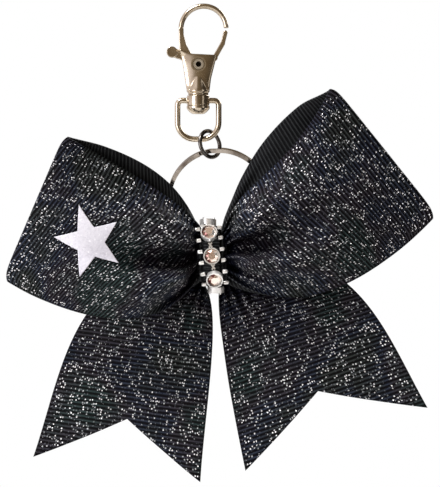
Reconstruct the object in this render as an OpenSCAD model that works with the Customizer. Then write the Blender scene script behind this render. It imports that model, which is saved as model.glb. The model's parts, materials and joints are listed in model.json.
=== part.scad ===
// Bag-charm bow: a folded ribbon bow on a split ring, a jump ring and a swivel lobster clasp.
// It hangs from the clasp. The origin is the centre of the hook's round eye,
// +X is to the right, +Y is away from the viewer and +Z is up. Millimetres.

/* [Clasp] */
// Inner radius of the hook's round eye
eye_r = 5.15; // [4.8:0.05:5.4]
// Width of the metal around the eye, in the plane of the clasp
hook_w = 1.25; // [1.1:0.05:1.4]
// Thickness of the hook, front to back
hook_t = 3.2; // [3:0.1:3.6]
// Thickness of the clasp's flat body, front to back
body_t = 4; // [3.8:0.1:4.6]
// Diameter of the neck, the swivel boss and the swivel head
neck_d = 5.9; // [5.6:0.1:6.2]
// Width of the swivel bail, outside
bail_w = 12; // [11.6:0.2:12.8]
// Wire diameter of the bail
bail_wire = 1.45; // [1.3:0.05:1.5]

/* [Rings] */
// Outer diameter of the jump ring
jump_d = 7.9; // [7.7:0.1:8.1]
// Wire diameter of the jump ring
jump_wire = 1.05; // [0.9:0.05:1.1]
// Turn of the jump ring away from the clasp's plane
jump_yaw = 45; // [44:1:52]
// Outer diameter of the split key ring
ring_d = 26.4; // [26:0.1:26.8]
// Wire of the key ring, measured along the radius
ring_wire = 1; // [0.8:0.1:1.1]
// Backward lean of the key ring
ring_lean = 14; // [13:1:15]

/* [Ribbon] */
// Width of the ribbon
ribbon_w = 50.8; // [48:0.2:52]
// Thickness of the ribbon's solid
ribbon_t = 0.8; // [0.6:0.1:1]
// Depth of the two pleats that run into the knot
pleat = 6; // [4:0.5:7]
// Depth of the swallow-tail notch
notch = 13.5; // [10:0.5:16]

/* [Knot] */
// Height of the knot, top to bottom, over the wrap
knot_h = 15.6; // [15.4:0.1:16.2]
// Depth of the knot, front to back, over the wrap
knot_d = 9; // [8.6:0.1:9.4]
// Width of the black wrap around the knot
wrap_w = 4.1; // [3.6:0.1:4.4]
// Thickness of the wrap
wrap_t = 0.6; // [0.5:0.1:0.7]

/* [Trim] */
// Number of crystals down the front of the knot
stones = 5; // [3:2:5]
// Distance between crystals along the trim
stone_pitch = 5.6; // [5.4:0.1:5.8]
// Diameter of a crystal's claw cup
cup_d = 4.3; // [4:0.1:4.5]
// Distance between the tips of the side bars, across the trim
bar_span = 7.2; // [6.8:0.1:7.4]
// Outer radius of the star
star_r = 9.5; // [8:0.5:10]

/* [Hidden] */
$fn = 48;

nickel = [0.62, 0.58, 0.52];
gunmetal = [0.32, 0.31, 0.30];
steel = [0.70, 0.70, 0.68];
silver = [0.80, 0.79, 0.77];
black = [0.05, 0.06, 0.07];
thread = [0.12, 0.12, 0.13];
crystal = [0.85, 0.72, 0.66];
white = [0.86, 0.85, 0.88];
eps = 0.01;

// Clasp
hook_r = eye_r + hook_w;              // outer radius of the hook
hook_mid = eye_r + hook_w / 2;
hook_tip = 2;                         // angle at which the hook's free end stops, above the gate
slot_w = 1.7;                         // slot for the lever, front to back
lever_t = 1.5;
lever_w = 1.1;                        // width of the gate arm in the clasp's plane
pivot = [-1.3, -9.2];                 // lever pivot in the clasp's plane, x and z
hub_r = 2.15;
rivet_d = 2.4;
rivet_bore = 1.4;                     // hollow ends of the rivet
rivet_web = 1.4;                      // metal left between them
rivet_head_d = 3.9;
rivet_head_t = 0.35;
running = 0.05;                       // radial clearance of a turning fit
body_bottom = -15.8;
swivel_x = -1.4;                      // x of the swivel's vertical axis
stud_d = 2.5;
boss_top = -17.15;
boss_bottom = -19.75;
play = 0.1;                           // end play of the swivel
head_h = 2;
thumb = [-8.1, -6.0];                 // centre of the thumb tab
thumb_root = [-6.4, -6.6];            // where the tab comes out of the slot
gate = [[2.8, -7.5], [4.9, -3.8], [5.6, -1.0]];

// Bail
bail_r = bail_wire / 2;
bail_half = bail_w / 2 - bail_r;      // half width along the wire's centre
bail_top = (boss_top + boss_bottom) / 2;
bail_low = -28.35;                    // z of the lowest wire's centre
bail_corner = 4.3;                    // bend radius at the two lower corners
bail_shoulder = 1.2;                  // bend radius at the two upper corners

// Rings
jump_at = [1.6, 0, -29.6];
jump_roll = 16;                       // lean of the jump ring along the bail's bend
jump_mid = (jump_d - jump_wire) / 2;
ring_mid = (ring_d - ring_wire) / 2;
ring_x = 3.9;
ring_z = -43.5;
coil_t = 0.95;                        // one coil of the key ring, front to back
coil_gap = 0.08;
split_turn = 100;                     // place of the wire's ends around the ring
split_half = 13;                      // half angle of the step between the two coils

// Knot
knot_at = [2.1, 0.5, -58.3];
knot_round = knot_d / 2;              // radius of the knot's rounded top and bottom
knot_flat = knot_h / 2 - knot_round;  // half height of its straight part
thread_t = 0.35;
thread_turns = 6;
core_round = knot_round - wrap_t - thread_t - 2 * eps;
tunnel_r = 2.1;                       // channel behind the knot, for the key ring
tunnel_y = 2 * ring_mid * sin(ring_lean);
tunnel_z = ring_z - ring_mid * cos(ring_lean) + 0.15;
core_w = 4.9;

// Trim
trim_lean = 7.5;                      // lean of the trim on the knot
cup_h = 1.5;
cup_wall = 0.3;
claw = 0.45;
bar_r = 0.52;

// Ribbon: the layers end at the sides of the core
left_x = knot_at.x - core_w / 2 - 0.05;
right_x = knot_at.x + core_w / 2 + 0.05;
cells = 12;                           // steps of a layer's grid each way
left_front = [
    [[left_x, -1, -52.5], [-2.3, -2.5, -45.7], [-19.3, -8, -36.6], [-34.9, -21.4, -28]],
    [[left_x, -1, -62], [-8, -6, -78], [-28, -7, -78], [-51.5, -0.5, -64.2]]
];
left_back = [
    [[left_x, 1.2, -53.5], [-5.5, -1.8, -38.5], [-15.5, -4, -32.5], [-34.9, -20.5, -27.6]],
    [[left_x, 1.2, -64.5], [-9, 0.8, -72], [-28, 0.5, -75], [-51.5, 0.4, -63.9]]
];
right_front = [
    [[right_x, -1.6, -62], [16, -6, -72], [34, -6, -74], [59.8, -0.5, -47.8]],
    [[right_x, -1.6, -53], [8.6, -6, -38], [20, -12, -40], [32.4, -22, -15.3]]
];
right_back = [
    [[right_x, 1.2, -64.5], [17, 1.3, -71], [36, 2, -72], [59.8, 0.4, -47.5]],
    [[right_x, 1.2, -51.5], [9.5, -2, -36], [16, -5.5, -24], [32.2, -21.1, -15]]
];
left_tail = [
    [[left_x, 3.4, -58.5], [-34.5, 4.8, -60], [-36, 6.6, -86.7], [-44.1, 8, -110.3]],
    [[left_x, 4, -65], [5.5, 4.6, -70.5], [0.2, 6.6, -98], [-0.9, 8, -116.9]]
];
right_tail = [
    [[right_x, 4, -65], [2.6, 4.6, -73], [7.6, 6.2, -98.5], [10.8, 8, -113.9]],
    [[right_x, 3.4, -58.5], [39.5, 4.8, -53], [46, 6.2, -76.7], [57.9, 8, -97.6]]
];
no_notch = [0, 0];
left_notch = [notch / 78, notch / 50];    // depth over the length of each selvage
right_notch = [notch / 50, notch / 78];
no_pleat = 0;
gathered = 0.12;                      // share of a layer's length that lies flat under the side bars
fold_rise = 0.6;                      // below 1, the pleats deepen fastest near the knot
front_belly = 3;                      // forward bulge in the middle of a front layer
back_belly = -0.6;                    // the same for a back layer, bulging backwards
tail_belly = 1.2;
star_at = [0.74, 0.52];               // centre of the star along and across the left front layer
star_points = 5;
star_inner = 0.42;                    // inner radius of the star as a share of the outer one
star_t = 0.4;
star_lift = 0.35;
star_turn = 18;

function mix(a, b, t) = a + (b - a) * t;
function bezier(p, t) =
    pow(1 - t, 3) * p[0] + 3 * pow(1 - t, 2) * t * p[1] + 3 * (1 - t) * t * t * p[2] + pow(t, 3) * p[3];

// One point of a ribbon layer. u runs from the knot to the far end, v from one selvage to the other.
function layer_point(selvages, u, v, folds, belly) =
    let (w = max(u - gathered, 0) / (1 - gathered))
    mix(bezier(selvages[0], u), bezier(selvages[1], u), v)
    - [0, folds * sin(180 * pow(w, fold_rise)) * (1 - w) * (1 - cos(720 * v)) / 2
          + belly * sin(180 * u) * sin(180 * v), 0];

// Draws its children, outlines in x and z, as plates that face the viewer
module plate(t) {
    rotate([90, 0, 0]) linear_extrude(t, center = true) children();
}

// A straight bar with round ends, as an outline
module link(a, b, w) {
    d = b - a;
    translate(a) circle(d = w + 2 * eps);
    translate(b) circle(d = w + 2 * eps);
    translate(a) rotate(atan2(d.y, d.x)) translate([0, -w / 2]) square([norm(d), w]);
}

// A closed solid between a layer's face and the same face moved back by the ribbon's thickness
module layer(selvages, folds, belly, cut) {
    row = cells + 1;
    count = row * row;
    grid = [for (i = [0:cells], j = [0:cells])
        let (v = j / cells, u = i / cells * (1 - mix(cut[0], cut[1], v) * (1 - abs(2 * v - 1))))
        layer_point(selvages, u, v, folds, belly)];
    cell = [for (i = [0:cells - 1], j = [0:cells - 1]) i * row + j];
    rim = concat(
        [for (j = [0:cells - 1]) [j, j + 1]],
        [for (i = [0:cells - 1]) [i * row + cells, (i + 1) * row + cells]],
        [for (j = [0:cells - 1]) [cells * row + cells - j, cells * row + cells - j - 1]],
        [for (i = [0:cells - 1]) [(cells - i) * row, (cells - i - 1) * row]]
    );
    polyhedron(
        points = concat(grid, [for (p = grid) p + [0, ribbon_t, 0]]),
        faces = concat(
            [for (c = cell) [c, c + 1, c + row]],
            [for (c = cell) [c + 1, c + row + 1, c + row]],
            [for (c = cell) [count + c, count + c + row, count + c + 1]],
            [for (c = cell) [count + c + 1, count + c + row, count + c + row + 1]],
            [for (e = rim) [e[1], e[0], count + e[0]]],
            [for (e = rim) [e[1], count + e[0], count + e[1]]]
        ),
        convexity = 6
    );
}

// Clasp ---------------------------------------------------------------

// The hook's round part, with rounded faces, open on the lower right
module hook_arc() {
    rotate([90, 0, 0]) rotate_extrude(angle = 180 - hook_tip, start = hook_tip) translate([hook_mid, 0]) {
        square([hook_w, hook_t - hook_w], center = true);
        for (side = [-1, 1]) translate([0, side * (hook_t - hook_w) / 2]) circle(d = hook_w);
    }
}

// The shank that joins the hook to the body
module shank_outline() {
    polygon([[-hook_r, 0.05], [-6.3, -3.2], [-6.1, -6.2], [-3, -6.8], [-4.4, -4.2], [-5.1, -1.5],
        [-eye_r, 0.05]]);
}

module body_outline() {
    polygon([[-6.1, -5.5], [-5.4, -8.6], [swivel_x - neck_d / 2, body_bottom],
        [swivel_x + neck_d / 2, body_bottom], [1.9, -12.8], [3.4, -6.8], [-3, -6.5]]);
}

module clasp_body() {
    color(nickel) difference() {
        union() {
            hook_arc();
            plate(hook_t) shank_outline();
            plate(body_t) body_outline();
            translate([swivel_x, 0, -16.3]) cylinder(d = neck_d, h = 0.52);
            translate([swivel_x, 0, boss_top + play]) cylinder(d = neck_d - 0.7, h = 1);
            translate([swivel_x, 0, body_bottom - eps]) cylinder(d1 = neck_d, d2 = body_t, h = 3.6);
        }
        plate(slot_w) translate([-10, -12.4]) square([20, 7.6]);
        translate([pivot.x, 0, pivot.y]) rotate([90, 0, 0]) cylinder(d = rivet_d + 0.02, h = 10, center = true);
        translate([swivel_x, 0, -20]) cylinder(d = stud_d, h = 6);
    }
}

module lever_outline() {
    translate(pivot) circle(r = hub_r);
    link(pivot, gate[0], lever_w + 0.5);
    link(gate[0], gate[1], lever_w + 0.1);
    link(gate[1], gate[2], lever_w);
    link(pivot, thumb, 1.7);
    link(thumb_root, thumb, 2.3);
}

// The spring-loaded gate and its thumb tab, in one piece
module trigger_lever() {
    color(nickel) difference() {
        union() {
            plate(lever_t) lever_outline();
            translate([thumb.x, 0, thumb.y]) rotate([90, 0, 0]) cylinder(d = 2.8, h = 2.6, center = true);
        }
        translate([pivot.x, 0, pivot.y]) rotate([90, 0, 0]) {
            cylinder(d = rivet_d + 2 * running, h = 4, center = true);
            translate([0, 0, -lever_t / 2 - eps]) cylinder(r = 1.8, h = 0.75);
        }
    }
}

module rivet_pin() {
    color(nickel) translate([pivot.x, 0, pivot.y]) rotate([90, 0, 0]) difference() {
        union() {
            cylinder(d = rivet_d, h = body_t + rivet_head_t, center = true);
            for (side = [-1, 1]) scale([1, 1, side]) translate([0, 0, body_t / 2]) {
                cylinder(d = rivet_head_d, h = rivet_head_t * 0.6);
                cylinder(d = rivet_head_d - 1, h = rivet_head_t);
            }
        }
        for (side = [-1, 1]) scale([1, 1, side]) translate([0, 0, rivet_web / 2])
            cylinder(d = rivet_bore, h = body_t);
    }
}

// The return spring: closed turns of fine wire around the rivet, with two legs
module trigger_spring() {
    wire = 0.28;
    turn_r = rivet_d / 2 + running + wire / 2 + 0.06;
    color(steel) translate([pivot.x, lever_t / 2 - 0.06, pivot.y]) rotate([90, 0, 0]) {
        for (turn = [0:1]) translate([0, 0, wire / 2 + turn * (wire - 0.02)])
            rotate_extrude() translate([turn_r, 0]) circle(d = wire, $fn = 16);
        translate([0, -turn_r, wire / 2]) rotate([0, 90, 0]) cylinder(d = wire, h = 1.1, $fn = 16);
    }
}

// The headed pin that joins the clasp to its bail, driven into the neck
module swivel_stud() {
    color(nickel) translate([swivel_x, 0, 0]) difference() {
        union() {
            translate([0, 0, boss_bottom - play - eps]) cylinder(d = stud_d, h = 5.4);
            intersection() {
                translate([0, 0, boss_bottom - play - head_h]) cylinder(d = neck_d, h = head_h);
                translate([0, 0, boss_bottom - play + 1]) sphere(r = 3.35, $fn = 64);
            }
        }
        translate([0, 0, -10]) cylinder(d = 1, h = 1);
    }
}

// A straight length of bail wire between two points
module wire_between(a, b) {
    d = b - a;
    translate(a) rotate([0, acos(d.z / norm(d)), atan2(d.y, d.x)]) cylinder(d = bail_wire, h = norm(d));
}

// A bend of bail wire in the clasp's plane
module wire_bend(at, r, from, sweep) {
    translate(at) rotate([90, 0, 0]) rotate_extrude(angle = sweep, start = from)
        translate([r, 0]) circle(d = bail_wire);
}

// One half of the bail, on the side that s gives
module bail_half(s) {
    side_x = swivel_x + s * bail_half;
    top_z = bail_top - bail_shoulder;
    low_z = bail_low + bail_corner;
    wire_between([swivel_x, 0, bail_low], [side_x - s * bail_corner, 0, bail_low]);
    wire_bend([side_x - s * bail_corner, 0, low_z], bail_corner, s > 0 ? 270 : 180, 90);
    wire_between([side_x, 0, low_z], [side_x, 0, top_z]);
    wire_bend([side_x - s * bail_shoulder, 0, top_z], bail_shoulder, s > 0 ? 0 : 90, 90);
    wire_between([side_x - s * bail_shoulder, 0, bail_top], [swivel_x, 0, bail_top]);
}

module swivel_bail() {
    color(nickel) difference() {
        union() {
            for (s = [-1, 1]) bail_half(s);
            translate([swivel_x, 0, boss_bottom]) cylinder(d = neck_d - 0.2, h = boss_top - boss_bottom);
        }
        translate([swivel_x, 0, boss_bottom - 1]) cylinder(d = stud_d + 2 * running, h = 5);
    }
}

// Rings ---------------------------------------------------------------

// A round-wire ring, closed end to end with a fine saw cut
module jump_ring() {
    color(gunmetal) translate(jump_at) rotate([0, -jump_roll, 0]) rotate([90, 0, jump_yaw]) difference() {
        rotate_extrude() translate([jump_mid, 0]) circle(d = jump_wire, $fn = 32);
        rotate(200) translate([jump_mid, 0, 0]) cube([2, 0.1, 2], center = true);
    }
}

module coil_section(layer) {
    translate([ring_mid - ring_wire / 2, layer * (coil_t + coil_gap) / 2 - coil_t / 2])
        square([ring_wire, coil_t]);
}

// A thin slice of the wire, at an angle and a place between the back coil and the front one
module coil_slice(angle, layer) {
    rotate_extrude(angle = 0.4, start = angle, $fn = 64) coil_section(layer);
}

// Two turns of flat-sided wire that step from one coil to the other
module split_ring() {
    start = split_turn + split_half;
    finish = split_turn + 360 - split_half;
    color(steel) translate([ring_x, ring_mid * sin(ring_lean), ring_z]) rotate([90 + ring_lean, 0, 0]) {
        for (side = [-1, 1]) rotate_extrude(angle = finish - start, start = start, $fn = 96) coil_section(side);
        for (step = [0:1]) hull() {
            coil_slice(mix(finish - 360, start, step / 2), 1 - step);
            coil_slice(mix(finish - 360, start, (step + 1) / 2), -step);
        }
    }
}

// Ribbon --------------------------------------------------------------

module loop_left_front() { color(black) layer(left_front, pleat, front_belly, no_notch); }
module loop_left_back() { color(black) layer(left_back, no_pleat, back_belly, no_notch); }
module loop_right_front() { color(black) layer(right_front, pleat, front_belly, no_notch); }
module loop_right_back() { color(black) layer(right_back, no_pleat, back_belly, no_notch); }
module tail_left() { color(black) layer(left_tail, no_pleat, tail_belly, left_notch); }
module tail_right() { color(black) layer(right_tail, no_pleat, tail_belly, right_notch); }

// Knot ----------------------------------------------------------------

// The knot's outline in depth and height: a straight middle with round ends
module knot_outline(r) {
    square([2 * r, 2 * knot_flat], center = true);
    for (end = [-1, 1]) translate([0, end * knot_flat]) circle(r = r);
}

module tunnel_outline(r) {
    translate([tunnel_y - knot_at.y, tunnel_z - knot_at.z]) circle(r = r);
}

// Draws an outline in depth and height across the knot
module across_knot(w, x = 0) {
    translate(knot_at + [x, 0, 0]) rotate([90, 0, 90]) linear_extrude(w, center = true) children();
}

// The gathered pleats inside the knot, as one block
module knot_core() {
    color(black) across_knot(core_w) difference() {
        knot_outline(core_round);
        tunnel_outline(tunnel_r + wrap_t + thread_t);
    }
}

// Close turns of thread around the gathered pleats
module cinch_thread() {
    color(thread) for (turn = [0:thread_turns - 1])
        across_knot(0.36, (turn - (thread_turns - 1) / 2) * 0.5) difference() {
            knot_outline(core_round + eps + thread_t);
            knot_outline(core_round + eps);
            tunnel_outline(tunnel_r + wrap_t + eps);
        }
}

// The black band around the knot, with the channel that holds the key ring
module center_wrap() {
    color(black) across_knot(wrap_w) difference() {
        union() {
            knot_outline(knot_round);
            tunnel_outline(tunnel_r + wrap_t);
        }
        difference() {
            knot_outline(knot_round - wrap_t);
            tunnel_outline(tunnel_r + wrap_t);
        }
        tunnel_outline(tunnel_r);
    }
}

// Trim ----------------------------------------------------------------

// Places its children on the front of the wrap, s along it from the middle, with +Z outwards
module on_trim(s) {
    past = max(abs(s) - knot_flat, 0);
    turn = sign(s) * past / knot_round * 180 / PI;
    z = sign(s) * min(abs(s), knot_flat) + knot_round * sin(turn);
    translate(knot_at + [-z * tan(trim_lean), -knot_round * cos(turn), z])
        rotate([90 - turn, 0, 0]) rotate(trim_lean) translate([0, 0, 0.05]) children();
}

module each_stone() {
    for (i = [0:stones - 1]) on_trim((i - (stones - 1) / 2) * stone_pitch) children();
}

// A round cup with a seat for the stone and four claws over its edge
module stone_cups() {
    color(silver) each_stone() difference() {
        union() {
            cylinder(d = cup_d, h = cup_h);
            for (turn = [0:3]) rotate(45 + 90 * turn) translate([cup_d / 2 - claw / 2, 0, 0])
                cylinder(d = claw, h = cup_h + 0.35, $fn = 16);
        }
        translate([0, 0, 0.4]) cylinder(d = cup_d - 2 * cup_wall, h = cup_h);
    }
}

// Faceted stones: a flat table, a crown and a short pavilion
module crystals() {
    girdle = cup_d - 2 * cup_wall - 0.1;
    color(crystal) each_stone() translate([0, 0, 0.45]) {
        cylinder(d = girdle, h = 0.75, $fn = 8);
        translate([0, 0, 0.75]) cylinder(d1 = girdle, d2 = girdle * 0.58, h = 0.65, $fn = 8);
    }
}

// Crossed wires between one cup and the next
module trim_links() {
    color(silver) for (i = [0:stones - 2]) on_trim((i - (stones - 2) / 2) * stone_pitch)
        for (turn = [-1, 1]) rotate(turn * 32) translate([0, 0, 0.3])
            cube([0.4, 1.5, 0.4], center = true);
}

// Short bars with round tips, two on each side of every stone that faces forwards
module side_bars() {
    bars = 2 * (stones - 2);
    inner = cup_d / 2 + 0.1;
    color(silver) for (i = [0:bars - 1], side = [-1, 1])
        on_trim((i - (bars - 1) / 2) * stone_pitch / 2) translate([side * inner, 0, bar_r])
            rotate([0, side * 90, 0]) {
                cylinder(r = bar_r, h = bar_span / 2 - inner - bar_r, $fn = 24);
                translate([0, 0, bar_span / 2 - inner - bar_r]) sphere(r = bar_r, $fn = 24);
            }
}

// A point of the star's face. p is its place from the star's centre, along and across the layer.
function star_point(p) =
    layer_point(left_front, star_at.x + p.x, star_at.y + p.y, pleat, front_belly) - [0, star_lift + star_t, 0];

// A five-pointed star of thin film that follows the left front layer
module star_decal() {
    tips = 2 * star_points;
    step = 0.1;
    along = norm(star_point([step, 0]) - star_point([-step, 0])) / (2 * step);
    across = norm(star_point([0, step]) - star_point([0, -step])) / (2 * step);
    outline = [for (i = [0:tips - 1])
        let (r = star_r * (i % 2 == 0 ? 1 : star_inner), a = star_turn + i * 360 / tips)
        [r * cos(a) / along, r * sin(a) / across]];
    face = [for (p = concat([[0, 0]], outline)) star_point(p)];
    count = tips + 1;
    color(white) polyhedron(
        points = concat(face, [for (p = face) p + [0, star_t, 0]]),
        faces = concat(
            [for (i = [0:tips - 1]) [0, (i + 1) % tips + 1, i + 1]],
            [for (i = [0:tips - 1]) [count, count + i + 1, count + (i + 1) % tips + 1]],
            [for (i = [0:tips - 1]) [i + 1, (i + 1) % tips + 1, count + i + 1]],
            [for (i = [0:tips - 1]) [(i + 1) % tips + 1, count + (i + 1) % tips + 1, count + i + 1]]
        )
    );
}

clasp_body();
trigger_lever();
rivet_pin();
trigger_spring();
swivel_stud();
swivel_bail();
jump_ring();
split_ring();
loop_left_front();
loop_left_back();
loop_right_front();
loop_right_back();
tail_left();
tail_right();
knot_core();
cinch_thread();
center_wrap();
stone_cups();
crystals();
trim_links();
side_bars();
star_decal();
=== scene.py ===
"""Looks of the bow charm: one folded glitter ribbon, its wrapped knot and trim, and polished clasp metal."""

import json
import math

import bmesh
import bpy
import numpy as np
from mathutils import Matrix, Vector


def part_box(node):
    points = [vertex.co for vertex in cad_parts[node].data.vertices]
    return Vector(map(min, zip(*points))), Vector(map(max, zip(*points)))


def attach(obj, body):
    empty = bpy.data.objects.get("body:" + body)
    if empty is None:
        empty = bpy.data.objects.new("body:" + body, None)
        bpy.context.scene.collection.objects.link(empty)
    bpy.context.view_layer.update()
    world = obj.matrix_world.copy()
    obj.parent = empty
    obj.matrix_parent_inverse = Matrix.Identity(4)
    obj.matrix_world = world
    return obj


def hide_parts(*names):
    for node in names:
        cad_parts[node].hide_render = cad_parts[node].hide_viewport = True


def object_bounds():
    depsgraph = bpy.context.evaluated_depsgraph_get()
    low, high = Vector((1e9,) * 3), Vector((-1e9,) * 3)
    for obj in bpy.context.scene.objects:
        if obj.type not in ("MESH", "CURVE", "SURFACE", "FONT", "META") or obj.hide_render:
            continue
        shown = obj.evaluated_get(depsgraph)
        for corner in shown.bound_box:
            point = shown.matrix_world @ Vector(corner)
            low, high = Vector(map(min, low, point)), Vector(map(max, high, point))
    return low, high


MM = 0.001
TURN = 2 * math.pi

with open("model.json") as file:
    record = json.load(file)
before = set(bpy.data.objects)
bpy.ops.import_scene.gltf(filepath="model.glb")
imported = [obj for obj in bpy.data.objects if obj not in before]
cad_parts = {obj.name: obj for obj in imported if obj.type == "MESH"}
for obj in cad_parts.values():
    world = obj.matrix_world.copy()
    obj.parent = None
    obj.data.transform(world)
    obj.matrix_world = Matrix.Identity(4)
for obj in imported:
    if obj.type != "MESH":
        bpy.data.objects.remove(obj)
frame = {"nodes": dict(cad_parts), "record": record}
box_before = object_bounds()
nodes = frame["nodes"]


def corners(node):
    """The lowest and highest corners of a CAD node, in millimetres."""
    low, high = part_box(node)
    return np.array(low) / MM, np.array(high) / MM


# The knot, from the CAD nodes
CORE_LOW, CORE_HIGH = corners("knot_core")
WRAP_LOW, WRAP_HIGH = corners("center_wrap")
KNOT = np.array([(CORE_LOW[0] + CORE_HIGH[0]) / 2, (CORE_LOW[1] + CORE_HIGH[1]) / 2,
                 (WRAP_LOW[2] + WRAP_HIGH[2]) / 2])
KNOT_ROUND = KNOT[1] - WRAP_LOW[1]
KNOT_FLAT = (WRAP_HIGH[2] - WRAP_LOW[2]) / 2 - KNOT_ROUND
CORE_ROUND = KNOT[1] - CORE_LOW[1]
WRAP_W = WRAP_HIGH[0] - WRAP_LOW[0]
WRAP_T = 0.45
WRAP_RIB_PITCH = 0.8
CORE_GAP = 0.05
LEFT_X = CORE_LOW[0] - CORE_GAP
RIGHT_X = CORE_HIGH[0] + CORE_GAP

# The key ring's channel behind the knot, from the joint that turns there
TILT = next(j for j in frame["record"]["behaviour"]["joints"] if j["name"] == "bow_tilt")
CHANNEL = np.array(TILT["pos_m"]) / MM
CHANNEL_R = WRAP_HIGH[1] - CHANNEL[1] - WRAP_T

# The ribbon, in millimetres. A height is positive towards the viewer.
RIBBON_W = 50.8
RIBBON_T = 0.36
RIB_PITCH = 1.12
WARP_PITCH = 0.42
SELVAGE_W = 0.75
DUST_PITCH = 0.5
FLAKE_PITCH = 0.72
# The folds' shade is painted into the glitter ribbon's colour, through ambient occlusion.
DEEP = 7  # how far the folds' shade reaches
FOLD_R = 0.85
FOLD_CORNER = 1.3  # how much further back the fold's two corners are drawn
PLEAT = 7.0
FRONT_BELLY = 3.0
BACK_BELLY = -0.6
TAIL_BELLY = 1.2
FRONT_CRIMP = 2.0
BACK_CRIMP = -1.5
TAIL_CRIMP = -2.0
BUCKLE = 0.3  # height of the cloth's small buckles
BUCKLE_SIZE = 17
BUCKLE_AREA = (55, 50)  # how far the pattern of buckles runs along and across a stretch
NOTCH = 13.5
KNOT_PATH = 8  # the ribbon's way through the knot, from one stretch to the next
GATHERED = 0.12  # share of a stretch that the knot holds flat
GATHER_REACH = 0.3  # share of a stretch over which the fine pleats die out
GATHERS = 8
STEPS_ALONG = 72
STEPS_ACROSS = 80

# Long creases that run out from the knot in the loops' fronts: height, place across the ribbon at the
# knot and at the far end (0 to 1), width across it, and share of the loop that they reach
LEFT_CREASES = [(-2.8, 0.5, 0.6, 0.08, 0.8), (1.8, 0.64, 0.92, 0.045, 0.6), (-2.4, 0.76, 1.1, 0.07, 0.6)]
RIGHT_CREASES = [(-2.8, 0.48, 0.44, 0.08, 0.6), (1.6, 0.6, 0.72, 0.05, 0.55), (-2.4, 0.76, 0.9, 0.07, 0.7)]

# Selvages of each stretch of ribbon as cubic curves from the knot to the far end, the upper or outer
# one first. They are the design's own curves, so the looks lie where the solids are.
LEFT_FRONT = (
    [(LEFT_X, -1, -52.5), (-2.3, -2.5, -45.7), (-19.3, -8, -36.6), (-34.9, -21.4, -28)],
    [(LEFT_X, -1, -62), (-8, -6, -78), (-28, -7, -78), (-51.5, -0.5, -64.2)],
)
LEFT_BACK = (
    [(LEFT_X, 1.2, -53.5), (-5.5, -1.8, -38.5), (-15.5, -4, -32.5), (-34.9, -20.5, -27.6)],
    [(LEFT_X, 1.2, -64.5), (-9, 0.8, -72), (-28, 0.5, -75), (-51.5, 0.4, -63.9)],
)
RIGHT_FRONT = (
    [(RIGHT_X, -1.6, -53), (8.6, -6, -38), (20, -12, -40), (32.4, -22, -15.3)],
    [(RIGHT_X, -1.6, -62), (16, -6, -72), (34, -6, -74), (59.8, -0.5, -47.8)],
)
RIGHT_BACK = (
    [(RIGHT_X, 1.2, -51.5), (9.5, -2, -36), (16, -5.5, -24), (32.2, -21.1, -15)],
    [(RIGHT_X, 1.2, -64.5), (17, 1.3, -71), (36, 2, -72), (59.8, 0.4, -47.5)],
)
LEFT_TAIL = (
    [(LEFT_X, 3.4, -58.5), (-34.5, 4.8, -60), (-36, 6.6, -86.7), (-44.1, 8, -110.3)],
    [(LEFT_X, 4, -65), (5.5, 4.6, -70.5), (0.2, 6.6, -98), (-0.9, 8, -116.9)],
)
RIGHT_TAIL = (
    [(RIGHT_X, 3.4, -58.5), (39.5, 4.8, -53), (46, 6.2, -76.7), (57.9, 8, -97.6)],
    [(RIGHT_X, 4, -65), (2.6, 4.6, -73), (7.6, 6.2, -98.5), (10.8, 8, -113.9)],
)

# The trim. Each ring of a cut stone's corners is (how many, share of its radius, height, share of a
# step turned), from the bottom of the girdle to the table.
STONES = 5
STONE_PITCH = 5.6
STONE_R = 1.8
STONE_TURN = 0.2
STONE_RINGS = [(16, 1, 0.5, 0), (16, 1, 1.05, 0), (8, 0.86, 1.42, 0.5), (8, 0.52, 1.78, 0)]
TRIM_LEAN = math.radians(7.5)

# The thread under the wrap
THREAD_R = 0.17
THREAD_TURNS = 6
THREAD_PITCH = 0.5
TWIST_PITCH = 0.5

# The star on the left loop: its place as shares of the loop's length and of the ribbon's width
STAR_R = 9.5
STAR_INNER = 0.42
STAR_TURN = math.radians(18)
STAR_AT = (0.74, 0.52)
STAR_LIFT = 0.22
STAR_T = 0.12

# The clasp's casting, whose two plates lie further than PLATE_HALF from the middle plane
CASTING_TOP = -6.6
CASTING_BOTTOM = -15.8
PLATE_HALF = 1.2
CROWN_EDGE = 0.42  # the crowned body's thickness at its sides, as a share of that in the middle
CROWN_SPAN = 0.94
CROWN_LEVELS = 24


# Ribbon ---------------------------------------------------------------


def smooth(low, high, t):
    """A smooth step from 0 at low to 1 at high."""
    x = np.clip((np.asarray(t, float) - low) / (high - low), 0, 1)
    return x * x * (3 - 2 * x)


def bezier(points, t):
    p = np.array(points, float)
    t = np.asarray(t, float)[..., None]
    return (1 - t) ** 3 * p[0] + 3 * (1 - t) ** 2 * t * p[1] + 3 * (1 - t) * t**2 * p[2] + t**3 * p[3]


def ripple(a, b, seed, size):
    """A smooth irregular field over two coordinates, about -1 to 1, made of a few seeded waves."""
    draw = np.random.default_rng(seed)
    field = np.zeros(np.broadcast(a, b).shape)
    for _ in range(6):
        angle = draw.uniform(0, math.pi)
        length = size * draw.uniform(0.7, 1.6)
        field += np.sin(TURN * (a * math.cos(angle) + b * math.sin(angle)) / length + draw.uniform(0, TURN))
    return field / 3


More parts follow.
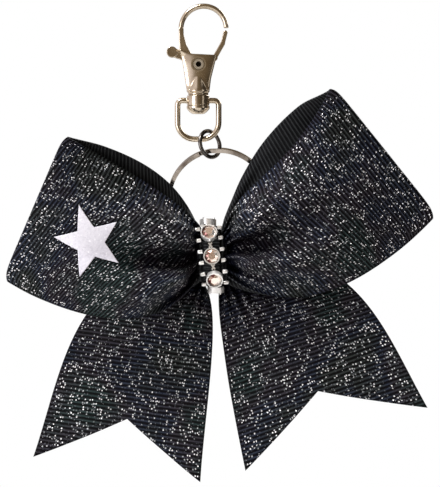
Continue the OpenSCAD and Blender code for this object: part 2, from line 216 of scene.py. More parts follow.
class Stretch:
    """One stretch of ribbon between the knot and a fold or a cut end.

    shear turns the ribs: it is how far along the ribbon its second selvage lies ahead of its first,
    in millimetres, at the far end and near the knot. folds, belly and crimp are the heights of its two
    broad pleats, of its bulge and of the fine pleats at the knot.
    """

    def __init__(self, selvages, folds, belly, crimp, seed, shear=(0, 0), notch=0, creases=()):
        self.selvages = selvages
        self.folds = folds
        self.belly = belly
        self.crimp = crimp
        self.seed = seed
        self.shear = shear
        self.notch = notch
        self.creases = creases
        self.build()

    def surface(self, u, v):
        """Points of the surface. u runs from the knot outwards, v from the first selvage to the second."""
        a = bezier(self.selvages[0], u)
        b = bezier(self.selvages[1], u)
        points = a + (b - a) * v[..., None]
        w = np.maximum(u - GATHERED, 0) / (1 - GATHERED)
        lobes = (1 - np.cos(2 * TURN * v)) / 2
        depth = self.folds * np.sin(math.pi * w**0.6) * (1 - w) * lobes
        depth += self.belly * np.sin(math.pi * u) * np.sin(math.pi * v)
        gathers = (1 + np.cos(GATHERS * TURN * v + 1.3 * np.sin(5 * v + self.seed))) / 2
        depth += self.crimp * gathers * np.exp(-((u / GATHER_REACH) ** 1.6)) * smooth(0, 0.05, u)
        for height, near, far, width, reach in self.creases:
            line = near + (far - near) * u / reach
            fade = smooth(0, 0.08, u) * (1 - smooth(0.5 * reach, reach, u))
            depth += height * np.exp(-(((v - line) / width) ** 2)) * fade
        buckles = ripple(u * BUCKLE_AREA[0], v * BUCKLE_AREA[1], self.seed, BUCKLE_SIZE)
        depth += BUCKLE * buckles * smooth(0.05, GATHER_REACH, u)
        points[..., 1] -= depth
        return points

    def build(self):
        """Rows of points evenly spaced across the ribbon, with each point's distance from the far end."""
        u = np.linspace(0, 1, 161)
        v = np.linspace(0, 1, 4 * STEPS_ACROSS + 1)
        dense = self.surface(*np.meshgrid(u, v, indexing="ij"))
        run = np.cumsum(np.linalg.norm(np.diff(dense, axis=1, prepend=dense[:, :1]), axis=2), axis=1)
        across = np.linspace(0, 1, STEPS_ACROSS + 1)
        place = np.array([np.interp(across * r[-1], r, v) for r in run])
        points = self.surface(np.repeat(u[:, None], STEPS_ACROSS + 1, axis=1), place)
        travelled = np.cumsum(np.linalg.norm(np.diff(points, axis=0, prepend=points[:1]), axis=2), axis=0)
        cut = self.notch * (1 - np.abs(2 * across - 1))
        share = np.linspace(0, 1, STEPS_ALONG + 1)
        self.rows = np.zeros((STEPS_ALONG + 1, STEPS_ACROSS + 1, 3))
        self.along = np.zeros((STEPS_ALONG + 1, STEPS_ACROSS + 1))
        for j in range(STEPS_ACROSS + 1):
            end = np.interp(travelled[-1, j] - cut[j], travelled[:, j], u)
            at = share * end
            self.rows[:, j] = np.stack([np.interp(at, u, points[:, j, k]) for k in range(3)], axis=1)
            self.along[:, j] = travelled[-1, j] - np.interp(at, u, travelled[:, j])
        turn = self.shear[0] + (self.shear[1] - self.shear[0]) * smooth(0, 30, self.along)
        self.along += turn * across[None]


def part_layers(front, back):
    """Sets the two layers of a loop one fold's diameter apart at their outer ends."""
    share = np.linspace(0, 1, STEPS_ALONG + 1)
    weight = smooth(0.45, 1, share)[:, None]
    mid = (front.rows[-1, :, 1] + back.rows[-1, :, 1]) / 2
    inward = front.rows[-4] - front.rows[-1]
    inward /= np.linalg.norm(inward, axis=1)[:, None]
    corner = np.abs(np.linspace(-1, 1, STEPS_ACROSS + 1)) ** 14
    depth = (FOLD_R + FOLD_CORNER * corner)[None, :, None]
    pull = smooth(0.8, 1, share)[:, None, None] * inward[None] * depth
    for layer, side in ((front, -1), (back, 1)):
        layer.rows[:, :, 1] += (mid + side * FOLD_R - layer.rows[-1, :, 1]) * weight
        layer.rows += pull


def fold(front, back, steps=7):
    """Rows that carry the ribbon round its outer fold, from the front layer's last row to the back's."""
    middle = (front[-1] + back[-1]) / 2
    outward = (front[-1] - front[-3]) + (back[-1] - back[-3])
    outward /= np.linalg.norm(outward, axis=1)[:, None]
    across = (front[-1] - back[-1]) / 2
    radius = np.linalg.norm(across, axis=1)[:, None]
    turns = np.linspace(0, math.pi, steps + 2)[1:-1]
    return [middle + across * math.cos(t) + outward * radius * math.sin(t) for t in turns]


def make_ribbon():
    """The one strip, from the left tail's cut end to the right tail's, and its left front stretch."""
    left_front = Stretch(LEFT_FRONT, PLEAT, FRONT_BELLY, FRONT_CRIMP, 3, shear=(12, 21),
                         creases=LEFT_CREASES)
    left_back = Stretch(LEFT_BACK, 0, BACK_BELLY, BACK_CRIMP, 4, shear=(-12, -12))
    right_front = Stretch(RIGHT_FRONT, PLEAT, FRONT_BELLY, FRONT_CRIMP, 5, shear=(0, 6),
                          creases=RIGHT_CREASES)
    right_back = Stretch(RIGHT_BACK, 0, BACK_BELLY, BACK_CRIMP, 6)
    left_tail = Stretch(LEFT_TAIL, 0, TAIL_BELLY, TAIL_CRIMP, 8, notch=NOTCH)
    right_tail = Stretch(RIGHT_TAIL, 0, TAIL_BELLY, TAIL_CRIMP, 9, notch=NOTCH)
    part_layers(left_front, left_back)
    part_layers(right_front, right_back)
    half_turn = math.pi / 2 * FOLD_R
    rows, along = [], []

    def add(points, distances):
        rows.extend(points)
        along.extend(distances)

    def join(points, start, finish):
        shares = np.linspace(0, 1, len(points) + 2)[1:-1]
        add(points, [start + (finish - start) * share for share in shares])

    def cross(first, last, start):
        join([first + (last - first) * share for share in np.linspace(0, 1, 7)[1:-1]],
             start, start + KNOT_PATH)

    def loop(first, second, side):
        """Out along one layer, round the fold and back along the other. side is 1 for the front first."""
        add(first.rows, side * (first.along + half_turn))
        join(fold(first.rows, second.rows), side * (first.along[-1] + half_turn),
             -side * (second.along[-1] + half_turn))
        add(second.rows[::-1], -side * (second.along[::-1] + half_turn))

    add(left_tail.rows[::-1], left_tail.along[::-1])
    cross(left_tail.rows[0], right_front.rows[0], left_tail.along[0])
    loop(right_front, right_back, 1)
    cross(right_back.rows[0], left_back.rows[0], -right_back.along[0])
    loop(left_back, left_front, -1)
    cross(left_front.rows[0], right_tail.rows[0], left_front.along[0])
    add(right_tail.rows, right_tail.along)
    return np.array(rows), np.array(along), left_front


def grid_mesh(name, rows, uv=None, closed=False):
    """A smooth mesh of quads over rows of points in millimetres, with the given (across, along) at each."""
    count_i, count_j = rows.shape[:2]
    faces = []
    for i in range(count_i if closed else count_i - 1):
        for j in range(count_j - 1):
            here = i * count_j + j
            after = (i + 1) % count_i * count_j + j
            faces.append((here, here + 1, after + 1, after))
    mesh = bpy.data.meshes.new(name)
    mesh.from_pydata((rows.reshape(-1, 3) * MM).tolist(), [], faces)
    if uv is not None:
        layer = mesh.uv_layers.new(name="strip")
        flat = uv.reshape(-1, 2)
        for loop in mesh.loops:
            layer.data[loop.index].uv = flat[loop.vertex_index]
    for polygon in mesh.polygons:
        polygon.use_smooth = True
    return add_object(name, mesh)


def add_object(name, mesh):
    obj = bpy.data.objects.new(name, mesh)
    bpy.context.scene.collection.objects.link(obj)
    return obj


def thicken(obj, thickness, offset=-1, back=0, rim=0):
    """Gives a sheet its thickness, in millimetres, and its back and edges their own material slots."""
    solidify = obj.modifiers.new("thickness", "SOLIDIFY")
    solidify.thickness = thickness * MM
    solidify.offset = offset
    solidify.material_offset = back
    solidify.material_offset_rim = rim


# Materials ------------------------------------------------------------


class Shader:
    """A small helper that builds a material's node tree."""

    def __init__(self, name):
        self.material = bpy.data.materials.new(name)
        self.material.use_nodes = True
        self.tree = self.material.node_tree
        self.bsdf = self.tree.nodes["Principled BSDF"]

    def node(self, kind, **settings):
        made = self.tree.nodes.new(kind)
        for key, value in settings.items():
            setattr(made, key, value)
        return made

    def put(self, socket, value):
        """Links an output to a socket, or sets a plain value on it."""
        if isinstance(value, bpy.types.NodeSocket):
            self.tree.links.new(value, socket)
        else:
            socket.default_value = value

    def set(self, **values):
        """Sets or links inputs of the surface. An underscore in a name stands for a space."""
        for name, value in values.items():
            self.put(self.bsdf.inputs[name.replace("_", " ")], value)

    def math(self, operation, a, b=0.0, c=0.0):
        made = self.node("ShaderNodeMath", operation=operation)
        for socket, value in zip(made.inputs, (a, b, c)):
            self.put(socket, value)
        return made.outputs[0]

    def vector(self, operation, a, b=None, scale=None):
        made = self.node("ShaderNodeVectorMath", operation=operation)
        self.put(made.inputs[0], a)
        if b is not None:
            self.put(made.inputs[1], b)
        if scale is not None:
            made.inputs["Scale"].default_value = scale
        return made.outputs[0]

    def open_share(self, reach, power):
        """How open the place is to light, 0 in deep folds and 1 in the open, for painting shade into folds.
        reach is in millimetres.
        """
        made = self.node("ShaderNodeAmbientOcclusion", samples=8)
        made.inputs["Distance"].default_value = reach * MM
        return self.math("POWER", made.outputs["AO"], power)

    def ramp(self, factor, stops):
        made = self.node("ShaderNodeValToRGB")
        elements = made.color_ramp.elements
        while len(elements) < len(stops):
            elements.new(0.5)
        for element, (place, colour) in zip(elements, stops):
            element.position = place
            element.color = (*colour, 1)
        self.put(made.inputs["Fac"], factor)
        return made.outputs["Color"]

    def mix(self, factor, a, b, kind="RGBA"):
        made = self.node("ShaderNodeMix", data_type=kind)
        sockets = [s for s in made.inputs if s.enabled]
        for socket, value in zip(sockets, (factor, a, b)):
            self.put(socket, (*value, 1) if isinstance(value, tuple) and kind == "RGBA" else value)
        return next(s for s in made.outputs if s.enabled)

    def noise(self, vector, scale, detail=3.0, roughness=0.5):
        made = self.node("ShaderNodeTexNoise")
        self.put(made.inputs["Vector"], vector)
        made.inputs["Scale"].default_value = scale
        made.inputs["Detail"].default_value = detail
        made.inputs["Roughness"].default_value = roughness
        return made.outputs["Fac"]

    def bump(self, height, distance, strength=1.0):
        """A bumped normal. distance is in millimetres."""
        made = self.node("ShaderNodeBump")
        self.put(made.inputs["Height"], height)
        made.inputs["Distance"].default_value = distance * MM
        made.inputs["Strength"].default_value = strength
        return made.outputs["Normal"]

    def parts(self, vector):
        made = self.node("ShaderNodeSeparateXYZ")
        self.put(made.inputs[0], vector)
        return made.outputs["X"], made.outputs["Y"], made.outputs["Z"]

    def place(self):
        return self.node("ShaderNodeTexCoord").outputs["Object"]

    def strip(self):
        return self.node("ShaderNodeUVMap", uv_map="strip").outputs["UV"]


def rib_height(s, along, across, pitch):
    """Grosgrain ribs that run across the ribbon, with its fine warp threads over them."""
    rib = s.math("MULTIPLY_ADD", s.math("SINE", s.math("MULTIPLY", along, TURN / pitch)), 0.5, 0.5)
    thread = s.math("SINE", s.math("MULTIPLY", across, TURN / WARP_PITCH))
    return s.math("MULTIPLY_ADD", thread, 0.1, rib)


def flakes(s, uv, cell, share, size):
    """A layer of glitter flakes: its mask, and each flake's own random colour and number.

    cell is their spacing in millimetres, share how many of them there are (it may vary from place to
    place), and size their radius as a share of the cell.
    """
    voronoi = s.node("ShaderNodeTexVoronoi", voronoi_dimensions="2D", feature="F1")
    s.put(voronoi.inputs["Vector"], uv)
    voronoi.inputs["Scale"].default_value = 1 / cell
    pick = s.node("ShaderNodeSeparateColor")
    s.put(pick.inputs[0], voronoi.outputs["Color"])
    near = s.math("LESS_THAN", voronoi.outputs["Distance"], size)
    chosen = s.math("LESS_THAN", pick.outputs["Red"], share)
    return s.math("MULTIPLY", near, chosen), voronoi.outputs["Color"], pick.outputs["Green"]


def ribbon_glitter():
    """Black grosgrain with silver glitter flakes bonded to its face: fine dust and larger flakes, with
    painted highlights on the rib crests and painted shade in the rib grooves and deep folds.
    """
    s = Shader("ribbon_glitter")
    uv = s.strip()
    across, along, _ = s.parts(uv)
    height = rib_height(s, along, across, RIB_PITCH)
    cloth_normal = s.bump(height, 0.28, 0.9)

    crowd = s.math("MULTIPLY_ADD", s.noise(uv, 0.35, 2), 1.9, -0.68)
    dust, dust_colour, dust_pick = flakes(s, uv, DUST_PITCH, 0.36, 0.33)
    large, large_colour, large_pick = flakes(s, uv, FLAKE_PITCH, crowd, 0.29)
    edge = s.math("MINIMUM", across, s.math("SUBTRACT", RIBBON_W, across))
    inside = s.math("GREATER_THAN", edge, SELVAGE_W)
    large = s.math("MULTIPLY", large, inside)
    mask = s.math("MULTIPLY", s.math("MAXIMUM", dust, large), inside)

    spread = s.vector("SUBTRACT", s.mix(large, dust_colour, large_colour), (0.5, 0.5, 0.5))
    tilted = s.vector("ADD", cloth_normal, s.vector("SCALE", spread, scale=1.1))
    flake_normal = s.vector("NORMALIZE", tilted)

    place = s.place()
    shade = s.noise(place, 55, 2)
    base = s.ramp(shade, [(0.36, (0.001, 0.001, 0.001)), (0.45, (0.001, 0.001, 0.003)),
                          (0.55, (0.002, 0.001, 0.002)), (0.64, (0.001, 0.002, 0.002))])
    # Painted highlight: the rib crests get a lighter colour than the grooves.
    ridge_highlight = s.ramp(shade, [(0.36, (0.034, 0.04, 0.039)), (0.45, (0.025, 0.033, 0.056)),
                           (0.55, (0.038, 0.034, 0.043)), (0.64, (0.025, 0.042, 0.042))])
    # Painted shade: ambient occlusion dims the rib highlights, hides the flakes and lowers the specular in
    # deep folds.
    painted_fold_light = s.open_share(DEEP, 2.5)
    base = s.mix(s.math("MULTIPLY", s.math("POWER", height, 2.5), painted_fold_light), base, ridge_highlight)
    dim = s.ramp(dust_pick, [(0.0, (0.001, 0.001, 0.002)), (0.6, (0.02, 0.023, 0.026)),
                             (1.0, (0.2, 0.21, 0.24))])
    bright = s.ramp(large_pick, [(0.0, (0.08, 0.09, 0.09)), (0.4, (0.5, 0.52, 0.54)),
                                 (0.8, (1.0, 0.98, 1.0))])
    # Painted shade in the rib grooves: the fine dust flakes are dimmed there, the large flakes much less.
    clear = s.math("MAXIMUM", s.math("MULTIPLY_ADD", height, 0.8, 0.2), s.math("MULTIPLY", large, 0.85))
    mask = s.math("MULTIPLY", s.math("MULTIPLY", mask, painted_fold_light), clear)
    s.set(
        Base_Color=s.mix(mask, base, s.mix(large, dim, bright)),
        Metallic=s.math("MULTIPLY", mask, 0.5),
        Roughness=s.mix(mask, 0.5, 0.3, "FLOAT"),
        Normal=s.mix(mask, cloth_normal, flake_normal, "VECTOR"),
        Specular_IOR_Level=s.math("MULTIPLY", painted_fold_light, 0.06),
    )
    return s.material


def ribbon_plain(name, pitch, lift=1.0):
    """Plain black grosgrain, as on the ribbon's wrong side, its edges and the wrap, with painted highlights
    on the rib crests.
    """
    s = Shader(name)
    across, along, _ = s.parts(s.strip())
    height = rib_height(s, along, across, pitch)
    dark = (0.002 * lift, 0.002 * lift, 0.003 * lift)
    faded = (0.006 * lift, 0.006 * lift, 0.007 * lift)
    # Painted highlight: the rib crests get a lighter colour than the grooves.
    crest_highlight = (0.032 * lift, 0.035 * lift, 0.037 * lift)
    worn = s.ramp(s.noise(s.place(), 120, 4), [(0.3, dark), (0.75, faded)])
    s.set(
        Base_Color=s.mix(s.math("POWER", height, 3.0), worn, crest_highlight),
        Normal=s.bump(height, 0.22, 0.9),
        Roughness=0.55,
        Specular_IOR_Level=0.08,
    )
    return s.material


def twisted_thread():
    """Dark matt thread with the slant of its twist."""
    s = Shader("thread")
    x, y, z = s.parts(s.place())
    diagonal = s.math("ADD", x, s.math("ADD", y, z))
    slant = s.math("SINE", s.math("MULTIPLY", diagonal, TURN / (TWIST_PITCH * MM)))
    s.set(
        Base_Color=s.ramp(s.math("MULTIPLY_ADD", slant, 0.5, 0.5), [(0.2, (0.006, 0.006, 0.007)),
                                                                    (0.9, (0.035, 0.035, 0.04))]),
        Normal=s.bump(slant, 0.05),
        Roughness=0.8,
    )
    return s.material


def metal(name, colour, dark, roughness, grain=0.004, plating=1.0):
    """Plated metal with casting texture, smudges, and tarnish in patches."""
    s = Shader(name)
    place = s.place()
    smudge = s.noise(place, 300, 4, 0.6)
    tarnish = s.noise(place, 140, 3, 0.55)
    s.set(
        Base_Color=s.ramp(tarnish, [(0.38, dark), (0.6, colour)]),
        Roughness=s.mix(smudge, roughness * 0.6, roughness * 1.6, "FLOAT"),
        Metallic=plating,
        Normal=s.bump(s.noise(place, 900, 2), grain),
    )
    return s.material


def rivet_metal():
    """A rolled rim with a painted highlight round a hollow with painted shade in it, a ring of painted shade
    at the rim's foot, and a dull flange.
    """
    s = Shader("rivet_metal")
    low, high = corners("rivet_pin")
    x, _, z = s.parts(s.vector("SUBTRACT", s.place(), tuple((low + high) / 2 * MM)))
    squares = s.math("ADD", s.math("MULTIPLY", x, x), s.math("MULTIPLY", z, z))
    radius = s.math("DIVIDE", s.math("SQRT", squares), (high[0] - low[0]) / 2 * MM)
    ring_edge_wobble = s.math("MULTIPLY_ADD", s.noise(s.place(), 1400, 3), 0.08, -0.04)
    s.set(
        # Painted light by radius: painted shade in the hollow, a painted highlight on the rolled rim, and
        # painted shade in a ring where the rim meets the flange.
        Base_Color=s.ramp(s.math("ADD", radius, ring_edge_wobble), [
            (0.33, (0.012, 0.01, 0.008)), (0.4, (0.95, 0.93, 0.9)), (0.66, (0.8, 0.76, 0.68)),
            (0.73, (0.12, 0.09, 0.06)), (0.8, (0.5, 0.43, 0.33)), (1.0, (0.62, 0.54, 0.43))]),
        Metallic=1.0,
        Roughness=0.24,
        Normal=s.bump(s.noise(s.place(), 900, 2), 0.004),
    )
    return s.material


def crystal_glass():
    """Champagne glass stones over foil, with painted reflections on the facets and painted shade on the
    facets that face left.
    """
    s = Shader("crystal_glass")
    # Painted light: each facet's colour follows its normal, lighter as a painted reflection and darker as
    # painted shade where it faces left.
    normal = s.node("ShaderNodeNewGeometry").outputs["True Normal"]
    facet_painted_light = s.math("MULTIPLY_ADD", s.parts(normal)[0], 0.3, s.noise(normal, 2.2, 1))
    s.set(
        Base_Color=s.ramp(facet_painted_light, [(0.3, (0.12, 0.02, 0.014)), (0.4, (0.4, 0.25, 0.19)),
                                  (0.52, (0.8, 0.62, 0.52)), (0.64, (1.0, 0.95, 0.9))]),
        Metallic=0.75,
        Roughness=s.mix(s.noise(s.place(), 1500, 2), 0.03, 0.14, "FLOAT"),
        Coat_Weight=1.0,
        Coat_Roughness=0.02,
    )
    return s.material


def glitter_film():
    """Lilac-white film with fine glitter in it."""
    s = Shader("glitter_film")
    place = s.place()
    voronoi = s.node("ShaderNodeTexVoronoi", feature="F1")
    s.put(voronoi.inputs["Vector"], place)
    voronoi.inputs["Scale"].default_value = 2400
    pick = s.node("ShaderNodeSeparateColor")
    s.put(pick.inputs[0], voronoi.outputs["Color"])
    grain = s.ramp(pick.outputs["Red"], [(0.0, (0.5, 0.49, 0.56)), (0.5, (0.62, 0.61, 0.68)),
                                         (0.93, (0.7, 0.69, 0.75)), (1.0, (0.95, 0.95, 1.0))])
    cloudy = s.ramp(s.noise(place, 110, 3), [(0.35, (0.5, 0.48, 0.55)), (0.65, (0.74, 0.73, 0.79))])
    s.set(
        Base_Color=s.mix(0.5, grain, cloudy),
        Roughness=s.mix(pick.outputs["Green"], 0.35, 0.6, "FLOAT"),
        Normal=s.bump(voronoi.outputs["Distance"], 0.03, 0.6),
    )
    return s.material


def plain_floor():
    """Pale paper with a faint tooth."""
    s = Shader("floor")
    grain = s.noise(s.place(), 40, 3)
    s.set(Base_Color=s.ramp(grain, [(0.3, (0.78, 0.78, 0.77)), (0.7, (0.84, 0.84, 0.83))]), Roughness=0.9)
    return s.material


def assign(obj, *materials):
    obj.data.materials.clear()
    for material in materials:
        obj.data.materials.append(material)


# Knot and trim --------------------------------------------------------


def stadium(radius, flat, count):
    """A closed outline in depth and height with a straight middle and round ends, evenly spaced."""
    length = 4 * flat + TURN * radius
    points = []
    for s in np.arange(count) / count * length:
        if s < 2 * flat:
            points.append((-radius, -flat + s))
        elif s < 2 * flat + math.pi * radius:
            a = math.pi - (s - 2 * flat) / radius
            points.append((radius * math.cos(a), flat + radius * math.sin(a)))
        elif s < 4 * flat + math.pi * radius:
            points.append((radius, flat - (s - 2 * flat - math.pi * radius)))
        else:
            a = -(s - 4 * flat - math.pi * radius) / radius
            points.append((radius * math.cos(a), -flat + radius * math.sin(a)))
    return np.array(points)


def hull_round(points):
    """The convex outline round a set of points in a plane, in order."""
    ordered = sorted(map(tuple, points))

    def chain(items):
        out = []
        for p in items:
            while len(out) > 1 and np.cross(np.subtract(out[-1], out[-2]), np.subtract(p, out[-1])) <= 0:
                out.pop()
            out.append(p)
        return out[:-1]

    return np.array(chain(ordered) + chain(ordered[::-1]))


def evenly(outline, count):
    """A closed outline again, with its points evenly spaced, and its length."""
    closed = np.vstack([outline, outline[:1]])
    run = np.concatenate([[0], np.cumsum(np.linalg.norm(np.diff(closed, axis=0), axis=1))])
    at = np.arange(count) / count * run[-1]
    return np.stack([np.interp(at, run, closed[:, k]) for k in range(2)], axis=1), run[-1]


def make_wrap(material):
    """The narrow ribbed band that goes round the knot and over the key ring behind it."""
    knot = stadium(KNOT_ROUND, KNOT_FLAT, 160)
    turns = np.linspace(0, TURN, 60, endpoint=False)
    bulge = CHANNEL[1:] - KNOT[1:] + (CHANNEL_R + WRAP_T) * np.stack([np.cos(turns), np.sin(turns)], axis=1)
    outline, length = evenly(hull_round(np.vstack([knot, bulge])), 220)
    across = np.linspace(-1, 1, 13)
    rows = np.zeros((len(outline), len(across), 3))
    rows[:, :, 0] = KNOT[0] + across[None] * WRAP_W / 2
    rows[:, :, 1:] = KNOT[1:] + outline[:, None] * (1 - 0.02 * across[None, :, None] ** 2)
    rows = rows[::-1]
    along = np.arange(len(outline)) / len(outline) * length
    uv = np.stack(np.broadcast_arrays(across[None] * WRAP_W / 2, along[:, None]), axis=2)
    wrap = grid_mesh("wrap", rows, uv, closed=True)
    thicken(wrap, WRAP_T)
    assign(wrap, material)
    return wrap


def make_gathers(material):
    """The ribbon's width gathered into fine pleats inside the knot."""
    outline, length = evenly(stadium(CORE_ROUND, KNOT_FLAT, 200), 192)
    around = np.arange(len(outline)) / len(outline)
    across = np.linspace(LEFT_X - 1.2, RIGHT_X + 1.2, 15)
    middle = (across[0] + across[-1]) / 2
    flare = np.abs(across - middle) / (across[-1] - middle)
    rows = np.zeros((len(outline), len(across), 3))
    rows[:, :, 0] = across[None]
    pleats = np.cos(17 * TURN * around + 1.5 * np.sin(3 * TURN * around))
    size = 0.9 - 0.1 * flare[None] ** 4 + 0.05 * pleats[:, None] * (0.4 + flare[None])
    rows[:, :, 1:] = KNOT[1:] + outline[:, None] * size[:, :, None]
    uv = np.stack(np.broadcast_arrays(around[:, None] * length, across[None]), axis=2)
    gathers = grid_mesh("gathers", rows[::-1], uv[::-1], closed=True)
    thicken(gathers, RIBBON_T)
    assign(gathers, material)
    return gathers


def make_thread(material):
    """A fine thread wound round the gathers, under the wrap."""
    per_turn, sides = 72, 8
    outline, _ = evenly(stadium(CORE_ROUND + THREAD_R + 0.01, KNOT_FLAT, 160), per_turn)
    ring = np.linspace(0, TURN, sides + 1)
    rows = []
    for i in range(THREAD_TURNS * per_turn + 1):
        centre = outline[i % per_turn]
        outward = centre - [0, np.clip(centre[1], -KNOT_FLAT, KNOT_FLAT)]
        outward /= np.linalg.norm(outward)
        x = KNOT[0] + (i / per_turn - THREAD_TURNS / 2) * THREAD_PITCH
        centre = KNOT[1:] + centre
        round_x = x + THREAD_R * np.cos(ring)
        round_yz = centre + THREAD_R * np.sin(ring)[:, None] * outward
        rows.append(np.column_stack([round_x, round_yz]))
    thread = grid_mesh("thread", np.array(rows))
    assign(thread, material)
    return thread


def on_trim(s):
    """The place and the axes (sideways, up, outwards) of the trim, s along it from its middle."""
    turn = math.copysign(max(abs(s) - KNOT_FLAT, 0), s) / KNOT_ROUND
    z = math.copysign(min(abs(s), KNOT_FLAT), s) + KNOT_ROUND * math.sin(turn)
    place = KNOT + [-z * math.tan(TRIM_LEAN), -KNOT_ROUND * math.cos(turn), z]
    out = np.array([0, -math.cos(turn), math.sin(turn)])
    up = np.array([0, math.sin(turn), math.cos(turn)])
    side = np.array([1.0, 0, 0])
    lean, rise = math.cos(TRIM_LEAN), math.sin(TRIM_LEAN)
    return place, side * lean + up * rise, up * lean - side * rise, out


def make_stones(material):
    """Cut stones: a table, a crown of facets and a girdle."""
    mesh = bpy.data.meshes.new("stones")
    bm = bmesh.new()
    for i in range(STONES):
        place, side, up, out = on_trim((i - (STONES - 1) / 2) * STONE_PITCH)
        points = []
        for count, share, height, offset in STONE_RINGS:
            radius = STONE_R * share
            for k in range(count):
                a = TURN * (k + offset) / count + STONE_TURN
                p = place + side * radius * math.cos(a) + up * radius * math.sin(a) + out * height
                points.append(bm.verts.new(p * MM))
        bmesh.ops.convex_hull(bm, input=points)
    bmesh.ops.dissolve_limit(bm, angle_limit=math.radians(1), verts=bm.verts, edges=bm.edges)
    bm.to_mesh(mesh)
    bm.free()
    stones = add_object("stones", mesh)
    assign(stones, material)
    return stones


def make_star(layer, material):
    """A five-pointed star of thin film that follows the ribbon's left front stretch."""
    rows = layer.rows
    size = np.array(rows.shape[:2]) - 1

    def look(u, v):
        i, j = np.clip([u * size[0], v * size[1]], 0, size - 1.001)
        a, b = int(i), int(j)
        f, g = i - a, j - b
        near = rows[a, b] * (1 - g) + rows[a, b + 1] * g
        far = rows[a + 1, b] * (1 - g) + rows[a + 1, b + 1] * g
        return near * (1 - f) + far * f

    step = 0.01
    centre = look(*STAR_AT)
    scale_u = np.linalg.norm(look(STAR_AT[0] + step, STAR_AT[1]) - centre) / step
    scale_v = np.linalg.norm(look(STAR_AT[0], STAR_AT[1] + step) - centre) / step
    tips, fine = 10, 14
    corner = []
    for i in range(tips):
        radius = STAR_R * (1 if i % 2 == 0 else STAR_INNER)
        a = STAR_TURN + TURN * i / tips
        corner.append((radius * math.cos(a), radius * math.sin(a)))
    mesh = bpy.data.meshes.new("star")
    bm = bmesh.new()
    for i in range(tips):
        a, b = np.array(corner[i]), np.array(corner[(i + 1) % tips])
        grid = {}
        for p in range(fine + 1):
            for q in range(fine + 1 - p):
                x, y = (a * p + b * q) / fine
                point = look(STAR_AT[0] + x / scale_u, STAR_AT[1] + y / scale_v)
                grid[p, q] = bm.verts.new((point - [0, STAR_LIFT, 0]) * MM)
        for p in range(fine):
            for q in range(fine - p):
                bm.faces.new((grid[p, q], grid[p + 1, q], grid[p, q + 1]))
                if p + q < fine - 1:
                    bm.faces.new((grid[p + 1, q], grid[p + 1, q + 1], grid[p, q + 1]))
    bmesh.ops.remove_doubles(bm, verts=bm.verts, dist=0.001 * MM)
    bmesh.ops.recalc_face_normals(bm, faces=bm.faces)
    for face in bm.faces:
        face.smooth = True
    bm.to_mesh(mesh)
    bm.free()
    star = add_object("star", mesh)
    thicken(star, STAR_T, offset=0)
    assign(star, material)
    return star


# Clasp ----------------------------------------------------------------


def cast_edges(node, voxel=0.13, rounds=9):
    """Rounds a cast part's edges, as polishing does."""
    remesh = node.modifiers.new("cast", "REMESH")
    remesh.mode = "VOXEL"
    remesh.voxel_size = voxel * MM
    remesh.use_smooth_shade = True
    soften = node.modifiers.new("polish", "SMOOTH")
    soften.factor = 0.5
    soften.iterations = rounds


def polished_body():
    """The clasp's body with the crowned front and back that the cast one has."""
    body = add_object("clasp_casting", nodes["clasp_body"].data.copy())
    cast_edges(body)
    made = bpy.data.meshes.new_from_object(body.evaluated_get(bpy.context.evaluated_depsgraph_get()))
    body.modifiers.clear()
    body.data = made
    points = np.empty(3 * len(made.vertices))
    made.vertices.foreach_get("co", points)
    points = points.reshape(-1, 3) / MM
    top, bottom = CASTING_TOP, CASTING_BOTTOM
    levels = np.linspace(bottom, top, CROWN_LEVELS)
    plate = points[np.abs(points[:, 1]) > PLATE_HALF]
    left, right = [], []
    for level in levels:
        near = plate[np.abs(plate[:, 2] - level) < 0.5, 0]
        left.append(near.min())
        right.append(near.max())
    edge_left = np.interp(points[:, 2], levels, left)
    edge_right = np.interp(points[:, 2], levels, right)
    side = (points[:, 0] - (edge_left + edge_right) / 2) / ((edge_right - edge_left) / 2)
    bow = np.clip(CROWN_SPAN * side, -0.98, 0.98)
    crown = CROWN_EDGE + (1 - CROWN_EDGE) * np.sqrt(1 - bow**2)
    within = smooth(top + 1.2, top - 0.8, points[:, 2]) * smooth(bottom - 0.6, bottom + 1.5, points[:, 2])
    points[:, 1] *= 1 + (crown - 1) * within
    made.vertices.foreach_set("co", (points * MM).ravel())
    for polygon in made.polygons:
        polygon.use_smooth = True
    return body


# Pieces ---------------------------------------------------------------

glitter = ribbon_glitter()
inner = ribbon_plain("ribbon_inside", RIB_PITCH)
rim = ribbon_plain("ribbon_edge", RIB_PITCH, 1.8)
rows, along, left_front = make_ribbon()
across = np.linspace(0, RIBBON_W, STEPS_ACROSS + 1)
ribbon = grid_mesh("ribbon", rows, np.stack(np.broadcast_arrays(across[None], along), axis=2))
thicken(ribbon, RIBBON_T, back=1, rim=2)
assign(ribbon, glitter, inner, rim)
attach(ribbon, "bow")
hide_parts("loop_left_front", "loop_left_back", "loop_right_front", "loop_right_back",
            "tail_left", "tail_right")

gathers = make_gathers(ribbon_plain("ribbon_gathers", RIB_PITCH))
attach(gathers, "bow")
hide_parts("knot_core")

wrap = make_wrap(ribbon_plain("wrap", WRAP_RIB_PITCH, 1.2))
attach(wrap, "bow")
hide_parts("center_wrap")

thread = make_thread(twisted_thread())
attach(thread, "bow")
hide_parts("cinch_thread")

stones = make_stones(crystal_glass())
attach(stones, "bow")
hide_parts("crystals")

star = make_star(left_front, glitter_film())
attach(star, "bow")
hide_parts("star_decal")

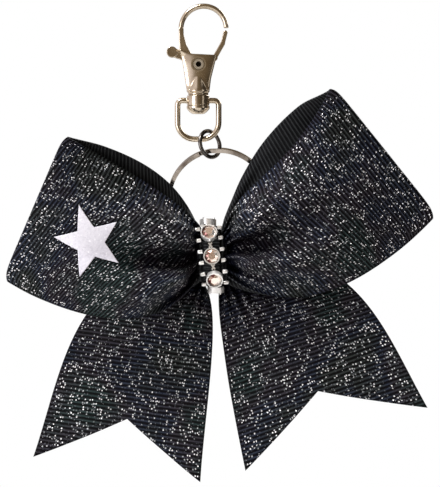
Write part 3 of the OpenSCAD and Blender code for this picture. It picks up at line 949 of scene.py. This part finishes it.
nickel = metal("nickel", (0.62, 0.54, 0.43), (0.42, 0.35, 0.26), 0.17)
gunmetal = metal("gunmetal", (0.13, 0.12, 0.11), (0.06, 0.055, 0.05), 0.2)
ring_steel = metal("ring_steel", (0.36, 0.32, 0.28), (0.1, 0.08, 0.065), 0.16)
silver = metal("silver", (0.9, 0.89, 0.88), (0.6, 0.59, 0.58), 0.16, plating=0.6)
FINISHES = {
    "clasp_body": nickel, "trigger_lever": nickel, "rivet_pin": rivet_metal(), "swivel_stud": nickel,
    "swivel_bail": nickel, "trigger_spring": ring_steel, "jump_ring": gunmetal, "split_ring": ring_steel,
    "stone_cups": silver, "trim_links": silver, "side_bars": silver,
}
for name, material in FINISHES.items():
    assign(nodes[name], material)
casting = polished_body()
assign(casting, nickel)
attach(casting, "clasp")
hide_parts("clasp_body")
cast_edges(nodes["trigger_lever"], voxel=0.1, rounds=7)
cast_edges(nodes["swivel_bail"], voxel=0.1, rounds=6)


# Stage ----------------------------------------------------------------

LOW, HIGH = (np.array(corner) for corner in box_before)
CENTRE = (LOW + HIGH) / 2


def area_light(name, place, size, power, colour=(1, 1, 1)):
    data = bpy.data.lights.new(name, "AREA")
    data.shape = "RECTANGLE"
    data.size, data.size_y = size
    data.energy = power
    data.color = colour
    obj = bpy.data.objects.new(name, data)
    obj.location = place
    obj.rotation_euler = (Vector(CENTRE) - Vector(place)).to_track_quat("-Z", "Y").to_euler()
    bpy.context.scene.collection.objects.link(obj)


FLOOR_SIZE = 0.6
FLOOR_DROP = 0.03
bpy.ops.mesh.primitive_plane_add(size=FLOOR_SIZE, location=(CENTRE[0], 0, LOW[2] - FLOOR_DROP))
floor = bpy.context.object
floor.name = "floor"
assign(floor, plain_floor())
area_light("key", (-0.32, -0.3, 0.62), (0.3, 0.3), 8)
area_light("fill", (0.7, -0.5, 0.1), (0.25, 0.6), 0.5, (1, 0.97, 0.94))
area_light("front", (-0.6, -0.55, -0.02), (0.3, 0.5), 3, (0.93, 0.96, 1))
area_light("rim", (0.45, 0.55, 0.3), (0.4, 0.4), 3)

# A white backdrop to the camera. To everything else, a studio with a white wall on the left and a
# warm dark one on the right.
world = bpy.data.worlds.new("studio")
bpy.context.scene.world = world
world.use_nodes = True
tree = world.node_tree


def world_node(kind, **inputs):
    made = tree.nodes.new(kind)
    for name, value in inputs.items():
        socket = made.inputs[name]
        if isinstance(value, bpy.types.NodeSocket):
            tree.links.new(value, socket)
        else:
            socket.default_value = value
    return made


direction = world_node("ShaderNodeTexCoord").outputs["Generated"]
sideways = world_node("ShaderNodeSeparateXYZ", Vector=direction).outputs["X"]
share = world_node("ShaderNodeMapRange", Value=sideways, **{"From Min": -1.0, "From Max": 1.0}).outputs[0]
walls = world_node("ShaderNodeValToRGB", Fac=share)
WALLS = [(0.34, (1.1, 1.0, 1.0)), (0.44, (0.3, 0.235, 0.15)), (0.6, (0.26, 0.2, 0.13)),
         (0.9, (0.08, 0.065, 0.05))]
while len(walls.color_ramp.elements) < len(WALLS):
    walls.color_ramp.elements.new(0.5)
for element, (place, colour) in zip(walls.color_ramp.elements, WALLS):
    element.position = place
    element.color = (*colour, 1)
room = tree.nodes["Background"]
tree.links.new(walls.outputs["Color"], room.inputs["Color"])
room.inputs["Strength"].default_value = 0.9
backdrop = world_node("ShaderNodeBackground", Color=(1, 1, 1, 1), Strength=1.0)
seen = world_node("ShaderNodeLightPath").outputs["Is Camera Ray"]
choose = tree.nodes.new("ShaderNodeMixShader")
tree.links.new(seen, choose.inputs[0])
tree.links.new(room.outputs[0], choose.inputs[1])
tree.links.new(backdrop.outputs[0], choose.inputs[2])
tree.links.new(choose.outputs[0], tree.nodes["World Output"].inputs["Surface"])

DISTANCE = 0.9
VIEW_HEIGHT = 0.1249
AIM_X = 0.0042
AIM_Z = -0.0551
camera_data = bpy.data.cameras.new("camera")
camera_data.sensor_width = 36
camera_data.lens = camera_data.sensor_width * DISTANCE / VIEW_HEIGHT
camera = bpy.data.objects.new("camera", camera_data)
camera.location = (AIM_X, -DISTANCE, AIM_Z)
camera.rotation_euler = (math.radians(90), 0, 0)
bpy.context.scene.collection.objects.link(camera)
bpy.context.scene.camera = camera
bpy.context.scene.view_settings.view_transform = "Standard"
